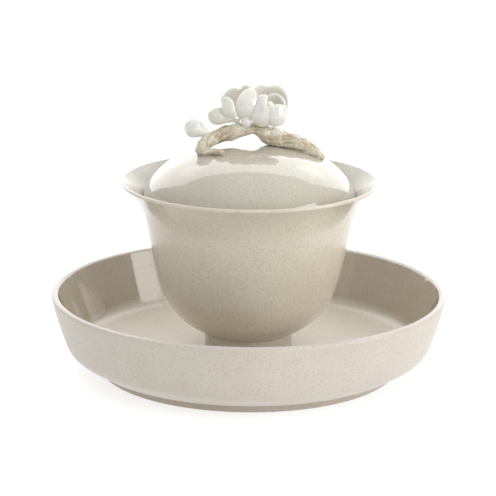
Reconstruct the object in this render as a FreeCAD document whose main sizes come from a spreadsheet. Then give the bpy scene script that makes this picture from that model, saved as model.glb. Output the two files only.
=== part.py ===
"""Gaiwan: a saucer dish, a tea bowl and a domed lid with a sculpted magnolia knob.

Millimetres, +Z up. The origin is on the turning axis, in the plane the dish's foot ring stands on.
The knob lies along X: two buds and two magnolia flowers on a branch that arches over the dome.
"""
import FreeCAD, Part
import math
import os

import Sketcher
from FreeCAD import Placement, Rotation, Vector

DOC = FreeCAD.newDocument("Gaiwan")
SHEET = DOC.addObject("Spreadsheet::Sheet", "Sizes")
ORIGIN = -1          # Sketcher's number for a sketch's horizontal axis, whose point 1 is the origin
UPRIGHT_AXIS = -2    # Sketcher's number for a sketch's vertical axis

# ---------------------------------------------------------------- driving dimensions

# Corners and spline poles of the turned profiles: name, distance from the axis, height.
# Each piece's heights are counted from the plane that the piece itself rests on.
PROFILE_POINTS = [
    # the dish, from its foot ring outwards, over the lip and down to its floor
    ("dish_ring_inner", 53.6, 0.0),
    ("dish_ring_outer", 57.4, 0.0),
    ("dish_ring_root", 58.0, 3.2),
    ("dish_shelf", 61.5, 3.9),
    ("dish_knee", 69.3, 8.8),
    ("dish_lip_outer", 75.75, 30.2),
    ("dish_lip_inner", 73.25, 30.2),
    ("dish_floor_edge", 64.85, 7.75),
    ("dish_floor_centre", 0.0, 7.75),
    ("dish_base_centre", 0.0, 3.4),
    ("dish_base_edge", 53.2, 3.4),
    # the bowl's foot ring
    ("bowl_ring_inner", 13.6, 0.0),
    ("bowl_ring_outer", 16.8, 0.0),
    # the outside of the bowl's wall, whose first pole is the top of the foot
    ("bowl_out_foot", 16.8, 6.2),
    ("bowl_out_base", 25.0, 10.6),
    ("bowl_out_belly", 29.1, 15.3),
    ("bowl_out_side", 34.5, 23.5),
    ("bowl_out_neck", 39.3, 50.7),
    ("bowl_out_flare", 41.3, 59.3),
    ("bowl_out_lip", 49.0, 64.9),
    # the inside of the wall, from the lip down to the bowl's floor
    ("bowl_in_lip", 48.2, 66.0),
    ("bowl_in_flare", 40.0, 60.3),
    ("bowl_in_neck", 37.2, 50.7),
    ("bowl_in_side", 32.7, 24.1),
    ("bowl_in_belly", 27.4, 16.5),
    ("bowl_in_base", 23.8, 12.3),
    ("bowl_in_foot", 15.7, 7.7),
    ("bowl_floor_centre", 0.0, 7.7),
    ("bowl_base_centre", 0.0, 4.6),
    ("bowl_base_edge", 13.6, 4.6),
    # the lid's dome, outside from its edge to the crown and back down inside
    ("lid_out_edge", 40.4, 0.0),
    ("lid_out_side", 40.1, 5.3),
    ("lid_out_haunch", 35.3, 10.7),
    ("lid_out_shoulder", 27.8, 16.9),
    ("lid_out_brow", 13.0, 21.4),
    ("lid_out_crown", 0.0, 21.4),
    ("lid_in_crown", 0.0, 19.0),
    ("lid_in_brow", 5.0, 19.0),
    ("lid_in_shoulder", 15.5, 18.4),
    ("lid_in_haunch", 29.7, 13.2),
    ("lid_in_side", 37.6, 5.5),
    ("lid_in_edge", 38.0, 0.0),
]

# Single sizes: name and value.
SINGLE_SIZES = [
    ("dish_wall_bow", 125.0),       # radius of the dish wall's slight outward bow
    ("dish_floor_round", 4.5),      # inside, where the floor turns up into the wall
    ("dish_knee_round", 6.0),
    ("dish_lip_round", 1.2),
    ("dish_ring_round", 0.8),
    ("bowl_ring_round", 0.7),
    ("bowl_floor_round", 8.0),      # inside, where the bowl's floor turns up into the wall
    ("bowl_lip_round", 0.6),
    ("lid_edge_round", 0.9),
    ("lid_seat_height", 58.05),     # the lid's edge above the bowl's foot
    ("petal_wall", 0.9),
    ("branch_waist", 0.93),         # a limb's thickness between two knots, as a part of theirs
]

# The branch arches over the dome from its left foot to its tapering right end.
# Knots of a limb: centre and radius.
BRANCH = [
    ((-18.0, -7.0, 86.2), 2.5),
    ((-16.8, -4.0, 88.4), 2.5),
    ((-13.4, -1.8, 90.0), 2.7),
    ((-8.8, -0.5, 91.5), 3.0),
    ((-3.3, 0.0, 92.7), 2.7),
    ((1.0, 0.0, 93.3), 2.2),
    ((4.4, 0.0, 92.3), 2.6),
    ((7.6, 0.0, 90.4), 3.1),
    ((12.2, 0.0, 89.4), 3.0),
    ((16.2, 0.0, 88.4), 2.9),
    ((19.9, 0.0, 86.9), 2.7),
    ((23.4, -0.4, 85.3), 2.3),
    ((26.4, -0.8, 83.4), 1.6),
    ((28.0, -1.0, 82.0), 0.9),
]

# A root that leaves the branch's left foot and runs forward along the dome.
SIDE_ROOT = [
    ((-17.4, -8.6, 86.0), 1.9),
    ((-13.6, -10.9, 86.6), 1.3),
    ((-9.6, -13.0, 86.4), 0.9),
]

# Buds and flower cores are drops: a round head that narrows to a neck.
# Name, head centre, head radius, neck centre, neck radius.
DROPS = [
    ("left_bud", (-21.6, -1.5, 94.1), 3.8, (-15.0, -2.4, 90.9), 1.3),
    ("middle_bud", (-12.5, 0.0, 98.1), 3.6, (-5.6, 0.0, 95.2), 1.4),
    ("left_flower_core", (-1.5, -1.4, 96.4), 1.9, (-2.4, 0.3, 99.8), 0.9),
    ("right_flower_core", (6.9, -0.2, 96.0), 2.3, (6.9, -0.2, 99.4), 1.1),
    ("right_flower_pistil", (7.3, -0.4, 101.6), 1.3, (6.9, -0.2, 99.0), 1.0),
]

# A petal is a piece of a hollow ball with a pointed oval outline.
# Name, ball centre, ball radius, way it faces, way its tip points, width, length.
PETALS = [
    ("left_flower_front_petal", (-1.6, 2.0, 101.0), 6.4, (-0.1, -1.0, 0.05), (0.0, 0.0, 1.0), 7.0, 13.0),
    ("left_flower_left_petal", (-6.5, -0.4, 101.2), 4.5, (-0.8, -0.6, -0.2), (-0.4, 0.0, 1.0), 7.4, 9.0),
    ("left_flower_back_petal", (-5.2, 1.2, 102.4), 5.7, (-0.5, 0.8, 0.2), (-0.2, 0.0, 1.0), 8.6, 11.2),
    ("left_flower_tip_petal", (-2.4, 0.6, 102.6), 6.3, (0.3, 0.9, 0.2), (0.0, -0.2, 1.0), 7.0, 12.2),
    ("left_flower_right_petal", (-2.9, 0.2, 101.4), 4.6, (1.0, -0.1, 0.1), (0.0, 0.0, 1.0), 6.6, 9.0),
    ("right_flower_front_left_petal", (4.5, -0.6, 99.9), 5.0, (-0.3, -1.0, -0.1), (0.0, 0.0, 1.0), 8.6, 9.6),
    ("right_flower_front_right_petal", (9.3, -0.6, 99.9), 5.0, (0.3, -1.0, -0.1), (0.0, 0.0, 1.0), 8.6, 9.6),
    ("right_flower_left_petal", (5.7, 0.6, 101.4), 5.3, (-1.0, -0.3, 0.1), (0.1, 0.0, 1.0), 8.0, 10.4),
    ("right_flower_right_petal", (8.3, 0.6, 101.9), 5.4, (1.0, -0.1, 0.1), (0.0, 0.0, 1.0), 8.4, 10.6),
    ("right_flower_back_left_petal", (5.6, 1.0, 102.7), 7.6, (-0.4, 0.9, 0.2), (0.1, 0.0, 1.0), 9.0, 14.6),
    ("right_flower_back_right_petal", (8.2, 1.0, 101.9), 7.2, (0.5, 0.9, 0.2), (-0.1, 0.0, 1.0), 9.0, 13.6),
]


def add_size(name, value):
    """Put one size in the sheet's next row, under its own name."""
    row = len(SIZE_NAMES) + 1
    SIZE_NAMES.append(name)
    SHEET.set(f"A{row}", name)
    SHEET.set(f"B{row}", str(value))
    SHEET.setAlias(f"B{row}", name)


def size(name):
    """The value in the sheet's cell of that name."""
    return float(SHEET.get(name))


def bind(thing, prop, formula):
    """Tie a property to a formula of sheet cells."""
    thing.setExpression(prop, formula)


SIZE_NAMES = []
for point, radius, height in PROFILE_POINTS:
    add_size(point + "_radius", radius)
    add_size(point + "_height", height)
for name, value in SINGLE_SIZES:
    add_size(name, value)
for limb, knots in (("branch", BRANCH), ("side_root", SIDE_ROOT)):
    for number, (centre, radius) in enumerate(knots):
        add_size(f"{limb}_knot_{number}", radius)
for name, head, head_radius, neck, neck_radius in DROPS:
    add_size(name + "_head", head_radius)
    add_size(name + "_neck", neck_radius)
for name, ball, ball_radius, facing, tip, width, length in PETALS:
    add_size(name + "_ball", ball_radius)
    add_size(name + "_width", width)
    add_size(name + "_length", length)
DOC.recompute()


# ---------------------------------------------------------------- turned pieces

def pin(sketch, geometry, end, point):
    """Hold one point of a sketch at the radius and height that the sheet gives for it."""
    axes = (("DistanceX", "_radius", UPRIGHT_AXIS), ("DistanceY", "_height", ORIGIN))
    for kind, suffix, axis in axes:
        value = size(point + suffix)
        if value == 0:
            sketch.addConstraint(Sketcher.Constraint("PointOnObject", geometry, end, axis))
            continue
        number = sketch.addConstraint(Sketcher.Constraint(kind, ORIGIN, 1, geometry, end, value))
        bind(sketch, f"Constraints[{number}]", f"Sizes.{point}{suffix}")


def place(point):
    """A profile point as a vector in its sketch's plane."""
    return Vector(size(point + "_radius"), size(point + "_height"), 0)


def add_straight(sketch, points):
    """A straight run between two profile points."""
    geometry = sketch.addGeometry(Part.LineSegment(place(points[0]), place(points[1])), False)
    pin(sketch, geometry, 1, points[0])
    return geometry


def add_spline(sketch, points):
    """A cubic spline whose poles are profile points. The next run pins the last one."""
    poles = [place(point) for point in points]
    spline = Part.BSplineCurve(poles, None, None, False, 3, None, False)
    geometry = sketch.addGeometry(spline, False)
    for number, point in enumerate(points):
        handle = sketch.addGeometry(Part.Circle(poles[number], Vector(0, 0, 1), 1.0), True)
        role = "InternalAlignment:Sketcher::BSplineControlPoint"
        sketch.addConstraint(Sketcher.Constraint(role, handle, 3, geometry, number))
        sketch.addConstraint(Sketcher.Constraint("Weight", handle, 1.0))
        if point != points[-1]:
            pin(sketch, handle, 3, point)
    return geometry


def add_bow(sketch, points, bow):
    """An arc between two profile points, bowed outwards with the radius in cell bow."""
    start, end = place(points[0]), place(points[1])
    chord = end - start
    outward = Vector(chord.y, -chord.x, 0).normalize()
    sag = size(bow) - math.sqrt(size(bow) ** 2 - (chord.Length / 2) ** 2)
    arc = Part.Arc(start, (start + end) / 2 + outward * sag, end)
    geometry = sketch.addGeometry(arc, False)
    pin(sketch, geometry, 1, points[0])
    number = sketch.addConstraint(Sketcher.Constraint("Radius", geometry, size(bow)))
    bind(sketch, f"Constraints[{number}]", f"Sizes.{bow}")
    return geometry


def turned_body(name, runs):
    """A body turned round the upright axis from a closed outline of straight and curved runs.

    Each run is a list of profile points that starts where the run before it ended.
    """
    body = DOC.addObject("PartDesign::Body", name)
    body.Label = name
    sketch = body.newObject("Sketcher::SketchObject", name + "_outline")
    plane = [item for item in body.Origin.OriginFeatures if item.Role == "XZ_Plane"][0]
    sketch.AttachmentSupport = (plane, "")
    sketch.MapMode = "FlatFace"
    pieces = []
    for run in runs:
        if run == DISH_WALL:
            pieces.append(add_bow(sketch, run, "dish_wall_bow"))
        elif len(run) == 2:
            pieces.append(add_straight(sketch, run))
        else:
            pieces.append(add_spline(sketch, run))
    for here, following in zip(pieces, pieces[1:] + pieces[:1]):
        sketch.addConstraint(Sketcher.Constraint("Coincident", here, 2, following, 1))
    DOC.recompute()
    turning = body.newObject("PartDesign::Revolution", name + "_turning")
    turning.Profile = (sketch, [""])
    turning.ReferenceAxis = (sketch, ["V_Axis"])
    turning.Angle = 360
    DOC.recompute()
    return body


def round_off(body, points, radius):
    """Round the ring-shaped edges that pass through the named profile points."""
    base = body.Tip
    edges = []
    for number, edge in enumerate(base.Shape.Edges, start=1):
        if edge.Degenerated or not isinstance(edge.Curve, Part.Circle):
            continue
        for point in points:
            same_radius = abs(edge.Curve.Radius - size(point + "_radius")) < 0.01
            same_height = abs(edge.Curve.Center.z - size(point + "_height")) < 0.01
            if same_radius and same_height:
                edges.append(f"Edge{number}")
    if len(edges) != len(points):
        raise RuntimeError(f"{body.Label}: found {len(edges)} of {len(points)} edges to round")
    fillet = body.newObject("PartDesign::Fillet", f"{body.Label}_{radius}")
    fillet.Base = (base, edges)
    bind(fillet, "Radius", f"Sizes.{radius}")
    DOC.recompute()


DISH_WALL = ["dish_knee", "dish_lip_outer"]


def make_dish():
    """The wide saucer dish: a flat floor on a broad foot ring, and a steep wall."""
    dish = turned_body("dish", [
        ["dish_ring_outer", "dish_ring_root"],
        ["dish_ring_root", "dish_shelf"],
        ["dish_shelf", "dish_knee"],
        DISH_WALL,
        ["dish_lip_outer", "dish_lip_inner"],
        ["dish_lip_inner", "dish_floor_edge"],
        ["dish_floor_edge", "dish_floor_centre"],
        ["dish_floor_centre", "dish_base_centre"],
        ["dish_base_centre", "dish_base_edge"],
        ["dish_base_edge", "dish_ring_inner"],
        ["dish_ring_inner", "dish_ring_outer"],
    ])
    round_off(dish, ["dish_floor_edge"], "dish_floor_round")
    round_off(dish, ["dish_knee"], "dish_knee_round")
    round_off(dish, ["dish_lip_outer", "dish_lip_inner"], "dish_lip_round")
    round_off(dish, ["dish_ring_outer", "dish_ring_inner"], "dish_ring_round")
    return dish


def make_bowl():
    """The tea bowl: a small tall foot ring, a deep round belly and a flared thin lip."""
    bowl = turned_body("bowl", [
        ["bowl_ring_outer", "bowl_out_foot"],
        ["bowl_out_foot", "bowl_out_base", "bowl_out_belly", "bowl_out_side",
         "bowl_out_neck", "bowl_out_flare", "bowl_out_lip"],
        ["bowl_out_lip", "bowl_in_lip"],
        ["bowl_in_lip", "bowl_in_flare", "bowl_in_neck", "bowl_in_side",
         "bowl_in_belly", "bowl_in_base", "bowl_in_foot"],
        ["bowl_in_foot", "bowl_floor_centre"],
        ["bowl_floor_centre", "bowl_base_centre"],
        ["bowl_base_centre", "bowl_base_edge"],
        ["bowl_base_edge", "bowl_ring_inner"],
        ["bowl_ring_inner", "bowl_ring_outer"],
    ])
    round_off(bowl, ["bowl_in_foot"], "bowl_floor_round")
    round_off(bowl, ["bowl_out_lip", "bowl_in_lip"], "bowl_lip_round")
    round_off(bowl, ["bowl_ring_outer", "bowl_ring_inner"], "bowl_ring_round")
    bind(bowl, "Placement.Base.z", "Sizes.dish_floor_centre_height")
    return bowl


def make_lid_dome():
    """The lid's dome, hollow underneath, whose edge sits inside the bowl's flare."""
    dome = turned_body("lid_dome", [
        ["lid_out_edge", "lid_out_side", "lid_out_haunch", "lid_out_shoulder",
         "lid_out_brow", "lid_out_crown"],
        ["lid_out_crown", "lid_in_crown"],
        ["lid_in_crown", "lid_in_brow", "lid_in_shoulder", "lid_in_haunch",
         "lid_in_side", "lid_in_edge"],
        ["lid_in_edge", "lid_out_edge"],
    ])
    round_off(dome, ["lid_out_edge", "lid_in_edge"], "lid_edge_round")
    bind(dome, "Placement.Base.z", "Sizes.dish_floor_centre_height + Sizes.lid_seat_height")
    return dome


# ---------------------------------------------------------------- the hand-formed knob

def pointing(start, end):
    """A placement at start whose own Z axis points at end."""
    return Placement(start, Rotation(Vector(0, 0, 1), end - start))


def add_ball(name, centre, formula, turn=Rotation()):
    """A ball whose radius follows a formula of sheet cells."""
    ball = DOC.addObject("Part::Sphere", name)
    bind(ball, "Radius", formula)
    ball.Placement = Placement(centre, turn)
    return ball


def add_taper(name, start, end, start_formula, end_formula):
    """A tapered round rod from start to end."""
    taper = DOC.addObject("Part::Cone", name)
    bind(taper, "Radius1", start_formula)
    bind(taper, "Radius2", end_formula)
    taper.Height = (end - start).Length
    taper.Placement = pointing(start, end)
    return taper


def fuse(name, pieces):
    """One solid from several overlapping ones."""
    joined = DOC.addObject("Part::MultiFuse", name)
    joined.Shapes = pieces
    return joined


def make_limb(name, knots):
    """A gnarled limb: a ball at each knot and a slightly thinner taper between each two."""
    pieces = []
    centres = [Vector(*centre) for centre, radius in knots]
    last = len(centres) - 1
    for number, centre in enumerate(centres):
        way = centres[min(number + 1, last)] - centres[min(number, last - 1)]
        # the ball's seam is turned to the limb's flank, clear of the rods at its two ends
        seam_turn = Rotation(Vector(0, 0, 1), 90 + math.degrees(math.atan2(way.y, way.x)))
        radius = f"Sizes.{name}_knot_{number}"
        pieces.append(add_ball(f"{name}_ball_{number}", centre, radius, seam_turn))
    for number in range(last):
        radii = [f"Sizes.branch_waist * Sizes.{name}_knot_{knot}" for knot in (number, number + 1)]
        rod = add_taper(f"{name}_rod_{number}", centres[number], centres[number + 1], *radii)
        pieces.append(rod)
    return fuse(name + "_whole", pieces)


def cut_away(name, piece, neighbour):
    """A piece without the space that its neighbour fills, so that the two meet face to face."""
    cut = DOC.addObject("Part::Cut", name)
    cut.Label = name
    cut.Base = piece
    cut.Tool = neighbour
    return cut


def make_drop(name, head, neck):
    """A bud or a flower's core: a round head that narrows to its neck."""
    head_place, neck_place = Vector(*head), Vector(*neck)
    ball = add_ball(name + "_ball", head_place, f"Sizes.{name}_head")
    taper = add_taper(name + "_taper", head_place, neck_place,
                      f"Sizes.branch_waist * Sizes.{name}_head", f"Sizes.{name}_neck")
    drop = fuse(name, [ball, taper])
    drop.Label = name
    return drop


def make_petal(name, ball, facing, tip):
    """A cupped petal: a hollow ball's wall inside the pointed oval that two cylinders share."""
    outward = Vector(*facing).normalize()
    side = Vector(*tip).cross(outward).normalize()
    turn = Rotation(side, outward.cross(side), outward, "ZXY")
    centre = Vector(*ball)
    whole = add_ball(name + "_outside", centre, f"Sizes.{name}_ball")
    hollow = add_ball(name + "_inside", centre, f"Sizes.{name}_ball - Sizes.petal_wall")
    wall = DOC.addObject("Part::Cut", name + "_wall")
    wall.Base = whole
    wall.Tool = hollow
    width, length = f"Sizes.{name}_width", f"Sizes.{name}_length"
    width_now, length_now = size(name + "_width"), size(name + "_length")
    shift = (length_now ** 2 + width_now ** 2) / (4 * width_now) - width_now / 2
    cutters = []
    for label, way in (("left", -1), ("right", 1)):
        cutter = DOC.addObject("Part::Cylinder", f"{name}_{label}")
        bind(cutter, "Radius", f"({length} * {length} + {width} * {width}) / (4 * {width})")
        bind(cutter, "Height", f"Sizes.{name}_ball + Sizes.petal_wall")
        cutter.Placement = Placement(centre + side * shift * way, turn)
        cutters.append(cutter)
    petal = DOC.addObject("Part::MultiCommon", name)
    petal.Label = name
    petal.Shapes = [wall] + cutters
    return petal


# ---------------------------------------------------------------- the whole set

def build_parts():
    """Every separate piece of the gaiwan, from the dish up to the last petal."""
    dome = make_lid_dome()
    parts = [make_dish(), make_bowl(), dome]
    for name, knots in (("branch", BRANCH), ("side_root", SIDE_ROOT)):
        parts.append(cut_away(name, make_limb(name, knots), dome))
    for name, head, head_radius, neck, neck_radius in DROPS:
        parts.append(make_drop(name, head, neck))
    for name, ball, ball_radius, facing, tip, width, length in PETALS:
        parts.append(make_petal(name, ball, facing, tip))
    DOC.recompute()
    return parts


def check(parts):
    """Stop if an object failed or a piece isn't one sound solid."""
    for thing in DOC.Objects:
        if "Invalid" in thing.State or "Error" in thing.State:
            raise RuntimeError(f"{thing.Name} is {thing.State}")
    for part in parts:
        shape = part.Shape
        if shape.isNull() or not shape.isValid() or len(shape.Solids) != 1:
            raise RuntimeError(f"{part.Label} is not one valid solid")
        print(f"{part.Label}: {shape.Volume:.1f} mm3")


PARTS = build_parts()
check(PARTS)
os.makedirs("parts", exist_ok=True)
for part in PARTS:
    part.Shape.exportStep(f"parts/{part.Label}.step")
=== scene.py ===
"""A gaiwan in oatmeal glaze with a sculpted magnolia knob, on a pale floor in soft studio light."""
import math

import bmesh
import bpy
import numpy as np
from mathutils import Matrix, Vector, noise


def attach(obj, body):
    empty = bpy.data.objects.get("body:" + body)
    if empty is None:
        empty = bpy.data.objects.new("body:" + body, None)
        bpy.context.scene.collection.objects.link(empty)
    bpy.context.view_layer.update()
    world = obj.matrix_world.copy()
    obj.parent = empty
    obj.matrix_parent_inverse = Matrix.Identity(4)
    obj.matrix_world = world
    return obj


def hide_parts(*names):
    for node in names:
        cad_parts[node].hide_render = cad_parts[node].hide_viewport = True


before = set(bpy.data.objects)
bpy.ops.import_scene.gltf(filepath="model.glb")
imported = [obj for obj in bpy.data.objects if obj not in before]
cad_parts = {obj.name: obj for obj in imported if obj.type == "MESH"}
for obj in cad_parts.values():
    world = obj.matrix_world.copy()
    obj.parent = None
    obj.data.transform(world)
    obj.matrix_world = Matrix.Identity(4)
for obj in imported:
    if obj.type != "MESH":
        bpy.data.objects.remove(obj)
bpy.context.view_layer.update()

MM = 0.001
TINY = 1e-9

# ---------------------------------------------------------------- camera and stage

CAMERA_PLACE = Vector((-0.36, -790.05, 254.83)) * MM
CAMERA_TILT = math.radians(14.76)       # how far the camera looks down
CAMERA_ROLL = math.radians(0.466)       # how far it leans sideways
SENSOR_WIDTH = 36.0                     # millimetres, like the lens
CAMERA_LENS = 154.9


def make_camera():
    """The camera in front of the gaiwan, looking a little down on it."""
    forward = Vector((0, math.cos(CAMERA_TILT), -math.sin(CAMERA_TILT)))
    level_up = Vector((0, math.sin(CAMERA_TILT), math.cos(CAMERA_TILT)))
    level_right = Vector((1, 0, 0))
    right = level_right * math.cos(CAMERA_ROLL) + level_up * math.sin(CAMERA_ROLL)
    up = level_up * math.cos(CAMERA_ROLL) - level_right * math.sin(CAMERA_ROLL)
    data = bpy.data.cameras.new("camera")
    data.sensor_width = SENSOR_WIDTH
    data.lens = CAMERA_LENS
    camera = bpy.data.objects.new("camera", data)
    turn = Matrix((right, up, -forward)).transposed()
    camera.matrix_world = Matrix.Translation(CAMERA_PLACE) @ turn.to_4x4()
    bpy.context.scene.collection.objects.link(camera)
    bpy.context.scene.camera = camera


# Softboxes: way round from +X and height in degrees, distance, width and height in metres, radiance.
SOFTBOXES = {
    "back_wall": (91, 29, 1.35, 2.6, 1.9, 1.5),
    "back_left_softbox": (125, 41, 1.15, 0.34, 0.24, 0.4),
    "back_right_softbox": (56, 38, 1.15, 0.34, 0.24, 0.6),
    "front_right_softbox": (-30, 17, 1.4, 1.1, 0.8, 3.9),
    "front_left_softbox": (-150, 25, 1.4, 0.7, 0.9, 0.3),
}
SOFTBOX_AIM = Vector((0, 0, 0.05))
SKY_LOW = 0.45        # how bright the surroundings are at the height of the floor
SKY_HIGH = 1.15       # and straight above
FLOOR_SIDE = 6.0
FLOOR_WHITE = 0.40
FLOOR_ROUGHNESS = 0.9
FLOOR_GLOW = 0.70     # the floor's own light, which keeps it white where shadows fall


def add_softbox(name, way, height, distance, width, tall, radiance):
    """A rectangular softbox that faces the gaiwan."""
    way, height = math.radians(way), math.radians(height)
    level = math.cos(height)
    outward = Vector((math.cos(way) * level, math.sin(way) * level, math.sin(height)))
    data = bpy.data.lights.new(name, "AREA")
    data.shape = "RECTANGLE"
    data.size = width
    data.size_y = tall
    data.energy = radiance * math.pi * width * tall
    light = bpy.data.objects.new(name, data)
    light.location = SOFTBOX_AIM + outward * distance
    light.rotation_euler = outward.to_track_quat("Z", "Y").to_euler()
    bpy.context.scene.collection.objects.link(light)


def make_floor():
    """A plain pale floor."""
    half = FLOOR_SIDE / 2
    mesh = bpy.data.meshes.new("floor")
    corners = [(-half, -half, 0), (half, -half, 0), (half, half, 0), (-half, half, 0)]
    mesh.from_pydata(corners, [], [(0, 1, 2, 3)])
    floor = bpy.data.objects.new("floor", mesh)
    bpy.context.scene.collection.objects.link(floor)
    material = bpy.data.materials.new("floor_white")
    material.use_nodes = True
    shader = material.node_tree.nodes["Principled BSDF"]
    shader.inputs["Base Color"].default_value = (FLOOR_WHITE, FLOOR_WHITE, FLOOR_WHITE, 1)
    shader.inputs["Roughness"].default_value = FLOOR_ROUGHNESS
    shader.inputs["Specular IOR Level"].default_value = 0.0
    shader.inputs["Emission Color"].default_value = (1, 1, 1, 1)
    shader.inputs["Emission Strength"].default_value = FLOOR_GLOW
    mesh.materials.append(material)


def make_surroundings():
    """A white room that is darker towards the floor."""
    world = bpy.data.worlds.new("studio")
    bpy.context.scene.world = world
    world.use_nodes = True
    nodes, links = world.node_tree.nodes, world.node_tree.links
    parts = nodes.new("ShaderNodeSeparateXYZ")
    links.new(nodes.new("ShaderNodeTexCoord").outputs["Generated"], parts.inputs[0])
    ramp = nodes.new("ShaderNodeMapRange")
    ramp.inputs["To Min"].default_value = SKY_LOW
    ramp.inputs["To Max"].default_value = SKY_HIGH
    links.new(parts.outputs["Z"], ramp.inputs["Value"])
    links.new(ramp.outputs["Result"], nodes["Background"].inputs["Strength"])
    nodes["Background"].inputs["Color"].default_value = (1.0, 1.0, 1.0, 1.0)


def make_stage():
    """Floor, surroundings and softboxes."""
    make_floor()
    make_surroundings()
    for name, values in SOFTBOXES.items():
        add_softbox(name, *values)
    bpy.context.scene.view_settings.view_transform = "Standard"


# ---------------------------------------------------------------- materials

class Shading:
    """A material's nodes, with short calls to add and join them."""

    MIX_COLOUR_INPUTS = (0, 6, 7)      # a Mix node's factor and its two colours
    MIX_VALUE_INPUTS = (0, 2, 3)       # and its factor and two values

    def __init__(self, name):
        self.material = bpy.data.materials.new(name)
        self.material.use_nodes = True
        self.nodes = self.material.node_tree.nodes
        self.links = self.material.node_tree.links
        self.shader = self.nodes["Principled BSDF"]
        self.place = self.add("ShaderNodeTexCoord").outputs["Object"]

    def add(self, kind, **settings):
        """A new node with some of its properties set."""
        node = self.nodes.new(kind)
        for key, value in settings.items():
            setattr(node, key, value)
        return node

    def plug(self, target, item):
        """Links an input to a socket, or sets it to a value or a colour."""
        if isinstance(item, bpy.types.NodeSocket):
            self.links.new(item, target)
        elif target.type == "RGBA":
            target.default_value = (*item, 1.0)
        else:
            target.default_value = item

    def feed(self, node, **values):
        """Plugs a node's inputs by their names, with _ for a space."""
        for key, item in values.items():
            self.plug(node.inputs[key.replace("_", " ")], item)

    def noise(self, scale, detail, roughness=0.5):
        """A noise texture's value in object space; scale is in cycles per metre."""
        node = self.add("ShaderNodeTexNoise")
        self.feed(node, Vector=self.place, Scale=scale, Detail=detail, Roughness=roughness)
        return node.outputs["Fac"]

    def remap(self, value, low, high, to_low=0.0, to_high=1.0):
        """A value stretched from one range to another, and held inside it."""
        node = self.add("ShaderNodeMapRange")
        self.feed(node, Value=value, From_Min=low, From_Max=high, To_Min=to_low, To_Max=to_high)
        return node.outputs["Result"]

    def math(self, operation, first, second):
        """One arithmetic step."""
        node = self.add("ShaderNodeMath", operation=operation)
        self.plug(node.inputs[0], first)
        self.plug(node.inputs[1], second)
        return node.outputs[0]

    def mix(self, factor, first, second, blend="MIX"):
        """Two colours mixed."""
        node = self.add("ShaderNodeMix", data_type="RGBA", blend_type=blend)
        for index, item in zip(self.MIX_COLOUR_INPUTS, (factor, first, second)):
            self.plug(node.inputs[index], item)
        return node.outputs[2]

    def dots(self, scale, size, share):
        """Round specks, 1 inside and 0 outside: size is their radius in cells, share how many have one."""
        cell = self.add("ShaderNodeTexVoronoi", feature="F1")
        self.feed(cell, Vector=self.place, Scale=scale)
        parts = self.add("ShaderNodeSeparateColor")
        self.links.new(cell.outputs["Color"], parts.inputs[0])
        there = self.remap(parts.outputs[0], share, share - 0.02)
        inside = self.remap(cell.outputs["Distance"], size, size * 0.55)
        return self.math("MULTIPLY", there, inside)

    def mix_values(self, factor, first, second):
        """Two values mixed."""
        node = self.add("ShaderNodeMix", data_type="FLOAT")
        for index, item in zip(self.MIX_VALUE_INPUTS, (factor, first, second)):
            self.plug(node.inputs[index], item)
        return node.outputs[0]

    def outside(self):
        """1 on a turned pot's outer wall, 0 on its inner wall and floor."""
        normal = self.add("ShaderNodeNewGeometry").outputs["Normal"]
        outward = self.add("ShaderNodeVectorMath", operation="DOT_PRODUCT")
        flat = self.add("ShaderNodeVectorMath", operation="MULTIPLY")
        self.links.new(self.place, flat.inputs[0])
        flat.inputs[1].default_value = (1.0, 1.0, 0.0)
        self.links.new(flat.outputs[0], outward.inputs[0])
        self.links.new(normal, outward.inputs[1])
        return self.remap(outward.outputs["Value"], 0.0, 0.02)

    def height(self):
        """Height in the part's own space: above the table, in metres, when the set is at rest."""
        parts = self.add("ShaderNodeSeparateXYZ")
        self.links.new(self.place, parts.inputs[0])
        return parts.outputs["Z"]

    def bump(self, height, distance, strength, under=None):
        """A bump from a height value; distance is in metres."""
        node = self.add("ShaderNodeBump")
        self.feed(node, Height=height, Distance=distance, Strength=strength)
        if under:
            self.links.new(under, node.inputs["Normal"])
        return node.outputs["Normal"]


DISH_CLAY = (0.50, 0.455, 0.395)
DISH_CLAY_DEEP = (0.47, 0.425, 0.365)
# Painted light: the bowl's glaze is the same oatmeal, painted paler than the dish's to make up for the
# less light that reaches it.
BOWL_CLAY_AND_PAINTED_LIGHT = (0.60, 0.55, 0.46)
BOWL_CLAY_DEEP_AND_PAINTED_LIGHT = (0.56, 0.51, 0.42)
LID_CLAY = (0.49, 0.455, 0.38)
LID_CLAY_DEEP = (0.46, 0.425, 0.35)
SPECK = (0.27, 0.21, 0.15)
FINE_SPECKLE = 0.30                      # how strongly the finest speckle shows
# Round specks: cells per metre, radius in cells, share of cells that have one, strength.
SPECKS = [(1200, 0.50, 0.45, 0.24), (520, 0.24, 0.12, 0.34)]
GLAZE_IOR = 1.5
GLAZE_COAT_ROUGHNESS = 0.03

BOWL_INSIDE_TINT = (0.80, 0.82, 0.84)    # the bowl is a little deeper in colour inside
PLAIN_TINT = (1.0, 1.0, 1.0)

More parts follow.
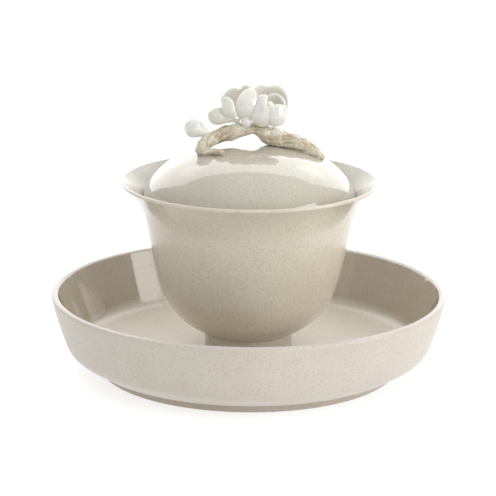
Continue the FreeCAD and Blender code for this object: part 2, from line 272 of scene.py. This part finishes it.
# Heights on the dish are in metres above the table.
DISH_FOOT_TOP = 0.0032                   # where the foot ring meets the dish
DISH_FLOOR_TOP = 0.0085                  # the dish's floor at its edge
DISH_LIP_HEIGHT = 0.0293                 # where the lip begins
DISH_FOOT_FADE = 0.0003                  # how far each zone of the dish takes to blend into the next
DISH_FLOOR_FADE = 0.004
DISH_LIP_FADE = 0.0006
DISH_FOOT_TINT = (0.84, 0.80, 0.76)      # the glaze is rubbed thin on the foot ring
DISH_OUTSIDE_TINT = (1.08, 1.09, 1.10)
DISH_WALL_PAINTED_SHADE_TINT = (0.88, 0.84, 0.76)      # painted shade: the inner wall is painted darker and browner
DISH_FLOOR_PAINTED_LIGHT_TINT = (1.36, 1.39, 1.41)     # painted light: the floor is painted paler
DISH_LIP_PAINTED_HIGHLIGHT_TINT = (1.10, 1.13, 1.18)       # painted highlight: the lip is painted cooler and paler
DISH_OUTSIDE_ROUGHNESS = 0.42
DISH_FLOOR_ROUGHNESS = 0.30
DISH_LIP_ROUGHNESS = 0.32

BARK = (0.54, 0.48, 0.36)
BARK_DEEP = (0.36, 0.29, 0.18)
BARK_PALE = (0.68, 0.64, 0.53)

PETAL_THICK_PART = (0.45, 0.44, 0.375)
PETAL_THIN_PART = (0.53, 0.53, 0.51)
PISTIL_THICK_PART = (0.67, 0.61, 0.43)
PISTIL_THIN_PART = (0.73, 0.68, 0.52)
PORCELAIN_SCATTER = 0.9                  # share of the light that passes into the porcelain
PORCELAIN_DEPTH = 0.003                  # and how far it goes, in metres
PORCELAIN_SPREAD = (1.0, 0.9, 0.75)      # for red, green and blue
INNER_LIGHT = 0.17                       # stands in for light through the petals from behind
INNER_LIGHT_COLOUR = (1.0, 0.97, 0.90)


def oatmeal_glaze(name, clay, deep, gloss, waves, coat, zones=None):
    """The speckled oatmeal glaze: fine brown specks, faint clouding, and a slightly wavy gloss."""
    look = Shading(name)
    clouds = look.remap(look.noise(38, 4), 0.35, 0.65)
    colour = look.mix(clouds, deep, clay)
    fine = look.remap(look.noise(1700, 2, 0.7), 0.52, 0.72)
    colour = look.mix(look.math("MULTIPLY", fine, FINE_SPECKLE), colour, SPECK)
    for scale, size, share, strength in SPECKS:
        spots = look.dots(scale, size, share)
        colour = look.mix(look.math("MULTIPLY", spots, strength), colour, SPECK)
    rough = look.remap(look.noise(90, 2), 0.3, 0.7, gloss, gloss * 1.6)
    if zones:
        colour, rough, coat = zones(look, colour, rough, coat)
    look.feed(look.shader, Base_Color=colour, Roughness=rough, Coat_Weight=coat,
              IOR=GLAZE_IOR, Coat_Roughness=GLAZE_COAT_ROUGHNESS)
    ripples = look.bump(look.noise(45, 2), 0.004, waves)
    grain = look.bump(look.noise(900, 2), 0.00003, 0.4, ripples)
    look.feed(look.shader, Normal=grain)
    return look.material


def bowl_zones(look, colour, rough, coat):
    """The bowl's glaze, a little deeper in colour inside."""
    tint = look.mix(look.outside(), BOWL_INSIDE_TINT, PLAIN_TINT)
    return look.mix(1.0, colour, tint, "MULTIPLY"), rough, coat


def dish_zones(look, colour, rough, coat):
    """The dish's glaze: matt outside, glossy on the inner wall, duller on the floor and the lip."""
    height = look.height()
    outside = look.outside()
    above_foot = look.remap(height, DISH_FOOT_TOP - DISH_FOOT_FADE, DISH_FOOT_TOP)
    wall = look.remap(height, DISH_FLOOR_TOP, DISH_FLOOR_TOP + DISH_FLOOR_FADE)
    lip = look.remap(height, DISH_LIP_HEIGHT, DISH_LIP_HEIGHT + DISH_LIP_FADE)
    rough = look.mix_values(outside, rough, DISH_OUTSIDE_ROUGHNESS)
    rough = look.mix_values(wall, DISH_FLOOR_ROUGHNESS, rough)
    rough = look.mix_values(lip, rough, DISH_LIP_ROUGHNESS)
    coat = look.mix_values(outside, coat, 0.0)
    coat = look.mix_values(wall, 0.0, coat)
    coat = look.mix_values(lip, coat, 0.0)
    # Painted light: the floor is painted paler, the inner wall darker and browner as shade, and the lip
    # cooler and paler as a highlight.
    painted_floor_and_wall = look.mix(wall, DISH_FLOOR_PAINTED_LIGHT_TINT, DISH_WALL_PAINTED_SHADE_TINT)
    outer = look.mix(above_foot, DISH_FOOT_TINT, DISH_OUTSIDE_TINT)
    tint = look.mix(lip, look.mix(outside, painted_floor_and_wall, outer), DISH_LIP_PAINTED_HIGHLIGHT_TINT)
    return look.mix(1.0, colour, tint, "MULTIPLY"), rough, coat


def bark_glaze(name):
    """The branch's glaze: pale where it thins over ridges, browner where it pools in the bark."""
    look = Shading(name)
    relief = look.add("ShaderNodeAttribute", attribute_name="relief").outputs["Fac"]
    mottle = look.noise(700, 4, 0.6)
    height = look.math("ADD", relief, look.math("MULTIPLY", look.math("SUBTRACT", mottle, 0.5), 0.5))
    colour = look.mix(look.remap(height, 0.15, 0.55), BARK_DEEP, BARK)
    colour = look.mix(look.remap(height, 0.6, 0.95), colour, BARK_PALE)
    specks = look.math("MULTIPLY", look.dots(1150, 0.4, 0.3), 0.35)
    colour = look.mix(specks, colour, SPECK)
    look.feed(look.shader, Base_Color=colour, Roughness=look.remap(mottle, 0.3, 0.7, 0.10, 0.20),
              Coat_Weight=0.9, Coat_Roughness=0.04)
    look.feed(look.shader, Normal=look.bump(look.noise(1400, 3), 0.00012, 0.6))
    return look.material


def porcelain(name, thick, thin):
    """White porcelain that lets some light through, darker and warmer where its relief value is low: in
    its thick parts, and as painted shade in the buds' folds and on the middle bud.
    """
    look = Shading(name)
    depth = look.add("ShaderNodeAttribute", attribute_name="relief").outputs["Fac"]
    clouds = look.remap(look.noise(260, 3), 0.3, 0.7, -0.12, 0.12)
    colour = look.mix(look.math("ADD", depth, clouds), thick, thin)
    look.feed(look.shader, Base_Color=colour,
              Roughness=look.remap(look.noise(300, 2), 0.3, 0.7, 0.12, 0.22),
              Subsurface_Weight=PORCELAIN_SCATTER, Subsurface_Radius=PORCELAIN_SPREAD,
              Subsurface_Scale=PORCELAIN_DEPTH, Coat_Weight=0.8, Coat_Roughness=0.04,
              Emission_Color=INNER_LIGHT_COLOUR, Emission_Strength=INNER_LIGHT)
    look.feed(look.shader, Normal=look.bump(look.noise(320, 2), 0.0005, 0.35))
    return look.material


# ---------------------------------------------------------------- mesh helpers


def smooth_object(name, points, faces, relief):
    """A smooth-shaded object from points in millimetres, with a relief value for each point."""
    mesh = bpy.data.meshes.new(name)
    mesh.from_pydata([tuple(point) for point in np.asarray(points) * MM], [], faces)
    layer = mesh.attributes.new("relief", "FLOAT", "POINT")
    layer.data.foreach_set("value", np.asarray(relief, dtype=np.float32))
    mesh.validate()
    mesh.shade_smooth()
    thing = bpy.data.objects.new(name, mesh)
    bpy.context.scene.collection.objects.link(thing)
    return thing


def tube_faces(rings, around):
    """Faces of a tube of closed rings, with a point at each end after the rings' own points."""
    faces = []
    for ring in range(rings - 1):
        for step in range(around):
            ahead = (step + 1) % around
            low, high = ring * around, (ring + 1) * around
            faces.append((low + step, low + ahead, high + ahead, high + step))
    first, last = rings * around, rings * around + 1
    top = (rings - 1) * around
    for step in range(around):
        ahead = (step + 1) % around
        faces.append((first, ahead, step))
        faces.append((last, top + step, top + ahead))
    return faces


def smooth_path(points, samples):
    """Evenly counted samples of a smooth curve through points, whose rows may hold more than x, y, z."""
    points = np.asarray(points, dtype=float)
    padded = np.vstack([2 * points[0] - points[1], points, 2 * points[-1] - points[-2]])
    result = []
    for value in np.linspace(0, len(points) - 1, samples):
        index = min(int(value), len(points) - 2)
        t = value - index
        a, b, c, d = padded[index:index + 4]
        result.append(0.5 * (2 * b + (c - a) * t + (2 * a - 5 * b + 4 * c - d) * t ** 2
                             + (3 * b - a - 3 * c + d) * t ** 3))
    return np.array(result)


def unit(vector):
    """A vector, or rows of vectors, at length 1."""
    vector = np.asarray(vector, dtype=float)
    return vector / np.linalg.norm(vector, axis=-1, keepdims=True)


def fractal(place, octaves, seed=0.0):
    """Fractal noise from about -1 to 1 at a place given in noise cells."""
    return noise.fractal(Vector(place) + Vector((seed, seed * 0.7, -seed)), 0.9, 2.1, octaves)


def finish_piece(thing, node, material, body="lid"):
    """Puts a piece on its body in place of its CAD node and material."""
    thing.data.materials.clear()
    thing.data.materials.append(material)
    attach(thing, body)
    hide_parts(node)


# ---------------------------------------------------------------- the branch

# Points of a limb: x, y, z and radius in millimetres.
BRANCH = [
    (-18.4, -8.3, 84.9, 1.8), (-18.0, -7.0, 86.2, 2.6), (-16.8, -4.0, 88.4, 2.5),
    (-13.4, -1.8, 90.0, 2.6), (-8.8, -0.5, 91.5, 3.0), (-3.3, 0.0, 92.7, 2.7),
    (1.0, 0.0, 93.3, 2.2), (4.4, 0.0, 92.3, 2.6), (7.6, 0.0, 90.4, 3.1),
    (12.2, 0.0, 89.4, 3.1), (16.2, 0.0, 88.4, 3.0), (19.9, 0.0, 86.9, 2.8),
    (23.4, -0.4, 85.3, 2.4), (26.4, -0.8, 83.4, 1.7), (28.3, -1.0, 81.9, 0.7),
]
SIDE_ROOT = [
    (-18.2, -7.2, 86.4, 2.2), (-16.6, -9.0, 86.2, 1.8), (-13.6, -10.9, 86.6, 1.3),
    (-11.2, -12.3, 86.6, 1.15), (-9.4, -13.1, 86.3, 0.8),
]
# Knots on the branch's bark: share of its length, way round it in degrees, and its height and
# spread in millimetres.
KNOTS = [
    (0.10, -60, 0.7, 1.5), (0.17, 40, 0.6, 1.6), (0.30, -75, 0.5, 1.8), (0.42, 100, 0.5, 1.5),
    (0.57, -80, 0.6, 1.3), (0.615, 80, 1.5, 2.4), (0.71, -40, 0.5, 1.5), (0.76, 90, 1.3, 1.6),
    (0.84, 70, 1.1, 1.5), (0.88, -50, 0.9, 1.4), (0.80, -90, 0.7, 1.3), (0.93, 60, 0.6, 1.1),
]

END_SHARE = 0.025        # share of a limb's length that rounds off at each end


def limb(name, points, knots, bark, samples, around, seed):
    """A gnarled limb with long bark ridges, pits and knots round a smooth path."""
    path = smooth_path(points, samples)
    centres, radii = path[:, :3], np.maximum(path[:, 3], 0.3)
    along = unit(np.gradient(centres, axis=0))
    length = np.concatenate([[0], np.cumsum(np.linalg.norm(np.diff(centres, axis=0), axis=1))])
    up = np.array([0.0, 0.0, 1.0])
    side = unit(np.cross(along, up))
    top = np.cross(side, along)
    shape, relief = [], []
    for ring in range(samples):
        share = length[ring] / length[-1]
        to_end = min(share, 1 - share) / END_SHARE
        end_round = math.sqrt(max(0.0, 1 - (1 - to_end) ** 2)) if to_end < 1 else 1.0
        for step in range(around):
            angle = 2 * math.pi * step / around
            outward = -side[ring] * math.cos(angle) + top[ring] * math.sin(angle)
            spot = centres[ring] + outward * radii[ring]
            twist = angle + length[ring] * 0.10
            grain = (math.cos(twist) * 2.1, math.sin(twist) * 2.1, length[ring] * 0.11)
            ridge = fractal(grain, 3, seed)
            lumps = fractal(spot * 0.26, 3, seed + 5)
            pits = fractal(spot * 0.75, 3, seed + 11)
            rise = bark * (0.9 * ridge + 0.9 * lumps + 0.45 * pits)
            for knot_share, knot_way, knot_rise, knot_spread in knots:
                gap = (share - knot_share) * length[-1]
                turn = (math.degrees(angle) - knot_way + 180) % 360 - 180
                across = math.radians(turn) * radii[ring]
                far = (gap ** 2 + across ** 2) / knot_spread ** 2
                rise += knot_rise * math.exp(-far) - 0.35 * knot_rise * math.exp(-far * 5)
            shape.append(centres[ring] + outward * (radii[ring] * end_round + rise * end_round))
            relief.append(0.5 + rise / (2.4 * bark))
    shape += [centres[0] - along[0] * 0.1, centres[-1] + along[-1] * 0.1]
    relief += [0.5, 0.5]
    return smooth_object(name, shape, tube_faces(samples, around), np.clip(relief, 0, 1))


# ---------------------------------------------------------------- buds and flower cores

# A bud's head centre and neck end, and their radii, in millimetres; how fast the head narrows; how
# deep its petals' folds are, in millimetres; its tone and shade: 0 for warm and dark, 1 for the whitest.
DROPS = {
    "left_bud": dict(
        head=(-20.9, -1.5, 93.8), neck=(-14.2, -2.3, 90.6),
        head_radius=4.0, neck_radius=1.2, narrowing=3.4, fold=0.10, tone_and_shade=0.9),
    "middle_bud": dict(
        head=(-12.6, 0.4, 98.0), neck=(-3.8, 0.0, 95.9),
        # Painted shade: the middle bud's low tone paints it darker and greyer, for the shade it sits in.
        head_radius=3.5, neck_radius=0.9, narrowing=3.2, fold=0.14, tone_and_shade=0.35),
    "left_flower_core": dict(
        head=(-1.4, -2.2, 96.3), neck=(-2.4, -0.2, 101.0),
        head_radius=2.05, neck_radius=1.2, narrowing=1.7, fold=0.0, tone_and_shade=0.8),
    "right_flower_core": dict(
        head=(6.9, 0.9, 96.3), neck=(6.9, -0.4, 99.6),
        head_radius=2.0, neck_radius=1.2, narrowing=1.7, fold=0.0, tone_and_shade=0.6),
}
DROP_RINGS, DROP_AROUND = 110, 150


def drop(name, head, neck, head_radius, neck_radius, narrowing, fold, tone_and_shade):
    """A bud: a round head that narrows to its neck, with spiral folds where its petals overlap."""
    head, neck = np.array(head), np.array(neck)
    axis = unit(neck - head)
    side = unit(np.cross(axis, (0.0, 1.0, 0.2)))
    other = np.cross(axis, side)
    full = np.linalg.norm(neck - head) + head_radius
    shape, relief = [], []
    for ring in range(DROP_RINGS):
        reach = full * ((ring + 0.5) / DROP_RINGS) ** 1.35
        if reach < head_radius:
            radius = math.sqrt(max(head_radius ** 2 - (head_radius - reach) ** 2, 0.0))
        else:
            t = (reach - head_radius) / (full - head_radius)
            slope = math.cos(math.pi * t / 2) ** narrowing
            radius = neck_radius + (head_radius - neck_radius) * slope
        centre = head + axis * (reach - head_radius)
        for step in range(DROP_AROUND):
            angle = 2 * math.pi * step / DROP_AROUND
            turn = (3 * angle / (2 * math.pi) + 0.55 * reach / full + 0.25) % 1.0
            crease = fold * math.exp(-(min(turn, 1 - turn) / 0.05) ** 2)
            outward = side * math.cos(angle) + other * math.sin(angle)
            spot = centre + outward * radius
            lump = 0.05 * fractal(spot * 0.3, 2, 3.0)
            fade = min(1.0, reach / head_radius)
            shape.append(centre + outward * (radius - crease * fade + lump))
            # Darker towards the neck, with painted shade in the folds.
            relief.append(tone_and_shade - 0.5 * max(0.0, (reach - head_radius) / full) - 0.8 * crease)
    shape += [head - axis * head_radius, neck + axis * 0.05]
    relief += [tone_and_shade, 0.2]
    return smooth_object(name, shape, tube_faces(DROP_RINGS, DROP_AROUND), np.clip(relief, 0, 1))


# ---------------------------------------------------------------- petals

# A petal is a rounded patch of its own ball, as in the CAD: ball centre and radius in millimetres,
# the way it faces, the way its tip points, its width and its length. Then what makes it a petal:
# point: 0 for a round tip, 1 for a pointed one; roll: how far its lip turns outwards, in millimetres;
# lean: how far its tip is pushed sideways, in millimetres; claw: 0 for a narrow base, 1 for a broad
# one; flare: how far its upper part leans outwards, in millimetres.
PETALS = {
    "left_flower_front_petal": dict(
        centre=(-1.5, 2.3, 102.2), ball=6.3, facing=(-0.02, -1.0, 0.05), tip=(0.16, 0.0, 1.0),
        width=7.8, length=14.0, point=0.25, roll=0.5, lean=1.2, claw=0.40, flare=0.6),
    "left_flower_left_petal": dict(
        centre=(-6.1, 0.0, 101.6), ball=4.3, facing=(-0.72, -0.68, -0.15), tip=(-0.30, 0.0, 1.0),
        width=8.2, length=9.4, point=0.0, roll=0.6, lean=-0.6, claw=0.55, flare=0.3),
    "left_flower_back_petal": dict(
        centre=(-5.3, 0.6, 103.0), ball=5.2, facing=(-0.55, 0.80, 0.05), tip=(-0.05, 0.0, 1.0),
        width=12.4, length=11.0, point=0.0, roll=0.5, lean=0.0, claw=0.5, flare=0.6),
    "left_flower_tip_petal": dict(
        centre=(-2.6, 0.6, 102.9), ball=5.6, facing=(0.25, 0.9, 0.2), tip=(-0.15, -0.2, 1.0),
        width=6.4, length=12.6, point=0.5, roll=1.0, lean=-1.4, claw=0.4, flare=0.6),
    "left_flower_right_petal": dict(
        centre=(-2.6, 0.2, 101.4), ball=4.2, facing=(1.0, 0.1, 0.1), tip=(0.0, 0.0, 1.0),
        width=7.0, length=9.4, point=0.3, roll=0.3, lean=0.0, claw=0.45, flare=0.3),
    "right_flower_back_left_petal": dict(
        centre=(5.6, -0.6, 103.5), ball=5.8, facing=(-0.42, 0.90, -0.05), tip=(-0.15, 0.0, 1.0),
        width=12.0, length=13.0, point=0.1, roll=0.8, lean=-0.4, claw=0.5, flare=1.0),
    "right_flower_back_right_petal": dict(
        centre=(8.1, -0.6, 103.0), ball=5.6, facing=(0.50, 0.90, -0.05), tip=(0.05, 0.0, 1.0),
        width=12.6, length=12.8, point=0.0, roll=0.5, lean=0.0, claw=0.5, flare=1.4),
    "right_flower_right_petal": dict(
        centre=(8.6, -1.4, 101.6), ball=4.3, facing=(0.40, 0.90, 0.0), tip=(-0.1, 0.0, 1.0),
        width=11.0, length=10.4, point=0.0, roll=0.4, lean=0.0, claw=0.5, flare=0.8),
    "right_flower_left_petal": dict(
        centre=(6.4, 0.8, 101.0), ball=5.8, facing=(-0.74, -0.66, 0.10), tip=(0.42, 0.0, 1.0),
        width=7.2, length=12.6, point=0.5, roll=0.3, lean=0.8, claw=0.5, flare=0.5),
    "right_flower_front_left_petal": dict(
        centre=(5.1, -0.9, 98.9), ball=4.3, facing=(-0.22, -1.0, -0.12), tip=(-0.28, 0.0, 1.0),
        width=9.4, length=9.2, point=0.25, roll=0.9, lean=-0.9, claw=0.62, flare=0.8),
    "right_flower_front_right_petal": dict(
        centre=(9.1, -0.9, 98.9), ball=4.3, facing=(0.22, -1.0, -0.12), tip=(0.28, 0.0, 1.0),
        width=9.4, length=9.2, point=0.25, roll=0.9, lean=0.9, claw=0.62, flare=0.8),
}
PETAL_THICK = 1.25       # millimetres
PETAL_WIDEST = 0.60      # where along its length a petal is widest
PETAL_LIP = 0.25         # how much thicker its lip is
PETAL_WOBBLE = 0.018     # unevenness of its hand-pressed surface, as a part of its ball
ROWS, COLUMNS = 48, 40
WELD_GAP = 0.004         # millimetres


def petal_width(share, point, claw):
    """A petal's half width at a share of its length, as a part of its greatest."""
    if share < PETAL_WIDEST:
        t = 1 - share / PETAL_WIDEST
        return math.sqrt(1 - t ** 2.2) * (1 - claw) + claw * math.sqrt(1 - t ** 8)
    t = (share - PETAL_WIDEST) / (1 - PETAL_WIDEST)
    rounded = math.sqrt(max(0.0, 1 - t ** 2.3))
    pointed = 1 - t ** 1.7
    return rounded * (1 - point) + pointed * point


def petal(name, centre, ball, facing, tip, width, length, point, roll, lean, claw, flare):
    """A cupped petal with thick rounded lips that roll outwards."""
    facing = unit(facing)
    tip = unit(np.array(tip) - facing * np.dot(tip, facing))
    side = np.cross(tip, facing)
    seed = sum(centre)
    middle = np.zeros((ROWS, COLUMNS, 3))
    thickness = np.zeros((ROWS, COLUMNS))
    shares = (1 - np.cos(np.linspace(0.0, math.pi, ROWS))) / 2
    for row, share in enumerate(shares):
        half = 0.5 * width * petal_width(share, point, claw)
        for column, across in enumerate(np.sin(np.linspace(-math.pi / 2, math.pi / 2, COLUMNS))):
            far = (share - 0.5) * length
            wide = across * half + lean * share ** 3
            reach = math.hypot(far, wide)
            angle = reach / ball
            spread = math.sin(angle) / reach if reach > TINY else 1 / ball
            rim = max(abs(across) ** 4 * (0.35 + 0.65 * share), max(0.0, 2 * share - 1) ** 7)
            wobble = PETAL_WOBBLE * fractal((far * 0.16, wide * 0.16, seed), 2)
            swell = ball * (1 + wobble) + roll * rim + flare * share ** 3
            outward = facing * math.cos(angle) + (tip * far + side * wide) * spread
            middle[row, column] = np.array(centre) + outward * swell
            fade = (1 - abs(across) ** 5) * (1 - abs(2 * share - 1) ** 9)
            thickness[row, column] = (1 + PETAL_LIP * rim) * math.sqrt(max(0.0, fade))
    normal = np.cross(np.gradient(middle, axis=1), np.gradient(middle, axis=0))
    size = np.linalg.norm(normal, axis=2, keepdims=True)
    normal = np.where(size > TINY, normal / np.maximum(size, TINY), 0.0)
    half_thick = (PETAL_THICK / 2) * thickness[..., None]
    shape = np.concatenate([(middle + normal * half_thick).reshape(-1, 3),
                            (middle - normal * half_thick).reshape(-1, 3)])
    relief = np.tile(np.repeat(np.clip(0.15 + 1.2 * shares, 0, 1), COLUMNS), 2)
    faces = []
    back_side = ROWS * COLUMNS
    for row in range(ROWS - 1):
        for column in range(COLUMNS - 1):
            here = row * COLUMNS + column
            quad = (here, here + 1, here + COLUMNS + 1, here + COLUMNS)
            faces.append(quad)
            faces.append(tuple(back_side + corner for corner in reversed(quad)))
    thing = smooth_object(name, shape, faces, relief)
    weld(thing)
    return thing


def weld(thing):
    """Joins a petal's two sides where they meet along its edge."""
    mesh = bmesh.new()
    mesh.from_mesh(thing.data)
    bmesh.ops.remove_doubles(mesh, verts=mesh.verts, dist=WELD_GAP * MM)
    bmesh.ops.recalc_face_normals(mesh, faces=mesh.faces)
    if mesh.calc_volume(signed=True) < 0:
        bmesh.ops.reverse_faces(mesh, faces=mesh.faces)
    mesh.to_mesh(thing.data)
    mesh.free()
    thing.data.shade_smooth()


# ---------------------------------------------------------------- the pistil

PISTIL_BASE = (7.3, -0.4, 99.6)
PISTIL_AXIS = (0.03, -0.15, 1.0)
PISTIL_HEIGHT = 4.4
PISTIL_RADIUS = 2.1
STAMEN_BEAD = 0.22       # how far its stamens stand out
PISTIL_RINGS, PISTIL_AROUND = 28, 40


def make_pistil(material):
    """The pale yellow centre of the open flower: a little cone set with stamens."""
    shape, relief = [], []
    base, axis = np.array(PISTIL_BASE), unit(PISTIL_AXIS)
    right = unit(np.cross((0.0, 1.0, 0.0), axis))
    back = np.cross(axis, right)
    for ring in range(PISTIL_RINGS):
        share = (ring + 0.5) / PISTIL_RINGS
        radius = PISTIL_RADIUS * math.sqrt(1 - share ** 2) + 0.15
        for step in range(PISTIL_AROUND):
            angle = 2 * math.pi * step / PISTIL_AROUND
            bead = STAMEN_BEAD * abs(math.sin(4 * angle + 9 * share)) * math.sin(math.pi * share)
            flat = right * math.cos(angle) + back * math.sin(angle)
            shape.append(base + axis * PISTIL_HEIGHT * share + flat * (radius + bead))
            relief.append(share)
    shape += [base - axis * 0.1, base + axis * (PISTIL_HEIGHT + 0.1)]
    relief += [0.0, 1.0]
    faces = tube_faces(PISTIL_RINGS, PISTIL_AROUND)
    thing = smooth_object("pistil_cone", shape, faces, relief)
    finish_piece(thing, "right_flower_pistil", material)


# ---------------------------------------------------------------- the whole set

def dress_cad(node, material):
    """Gives a turned CAD node its glaze."""
    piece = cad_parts[node]
    for slot in piece.material_slots:
        slot.material = material


def make_gaiwan():
    """Every visible piece with its material."""
    dress_cad("dish", oatmeal_glaze("dish_oatmeal", DISH_CLAY, DISH_CLAY_DEEP,
                                    gloss=0.035, waves=0.02, coat=0.6, zones=dish_zones))
    dress_cad("bowl", oatmeal_glaze("bowl_oatmeal", BOWL_CLAY_AND_PAINTED_LIGHT, BOWL_CLAY_DEEP_AND_PAINTED_LIGHT,
                                    gloss=0.12, waves=0.05, coat=0.05, zones=bowl_zones))
    dress_cad("lid_dome", oatmeal_glaze("lid_oatmeal", LID_CLAY, LID_CLAY_DEEP,
                                        gloss=0.05, waves=0.04, coat=0.6))
    bark = bark_glaze("bark_glaze_brown")
    branch = limb("branch_bark", BRANCH, KNOTS, bark=0.27, samples=420, around=80, seed=1.0)
    finish_piece(branch, "branch", bark)
    root = limb("side_root_bark", SIDE_ROOT, [], bark=0.18, samples=120, around=48, seed=4.0)
    finish_piece(root, "side_root", bark)
    white = porcelain("petal_porcelain", PETAL_THICK_PART, PETAL_THIN_PART)
    yellow = porcelain("pistil_porcelain", PISTIL_THICK_PART, PISTIL_THIN_PART)
    for node, form in DROPS.items():
        finish_piece(drop(node + "_form", **form), node, white)
    for node, form in PETALS.items():
        finish_piece(petal(node + "_form", **form), node, white)
    make_pistil(yellow)


make_camera()
make_stage()
make_gaiwan()
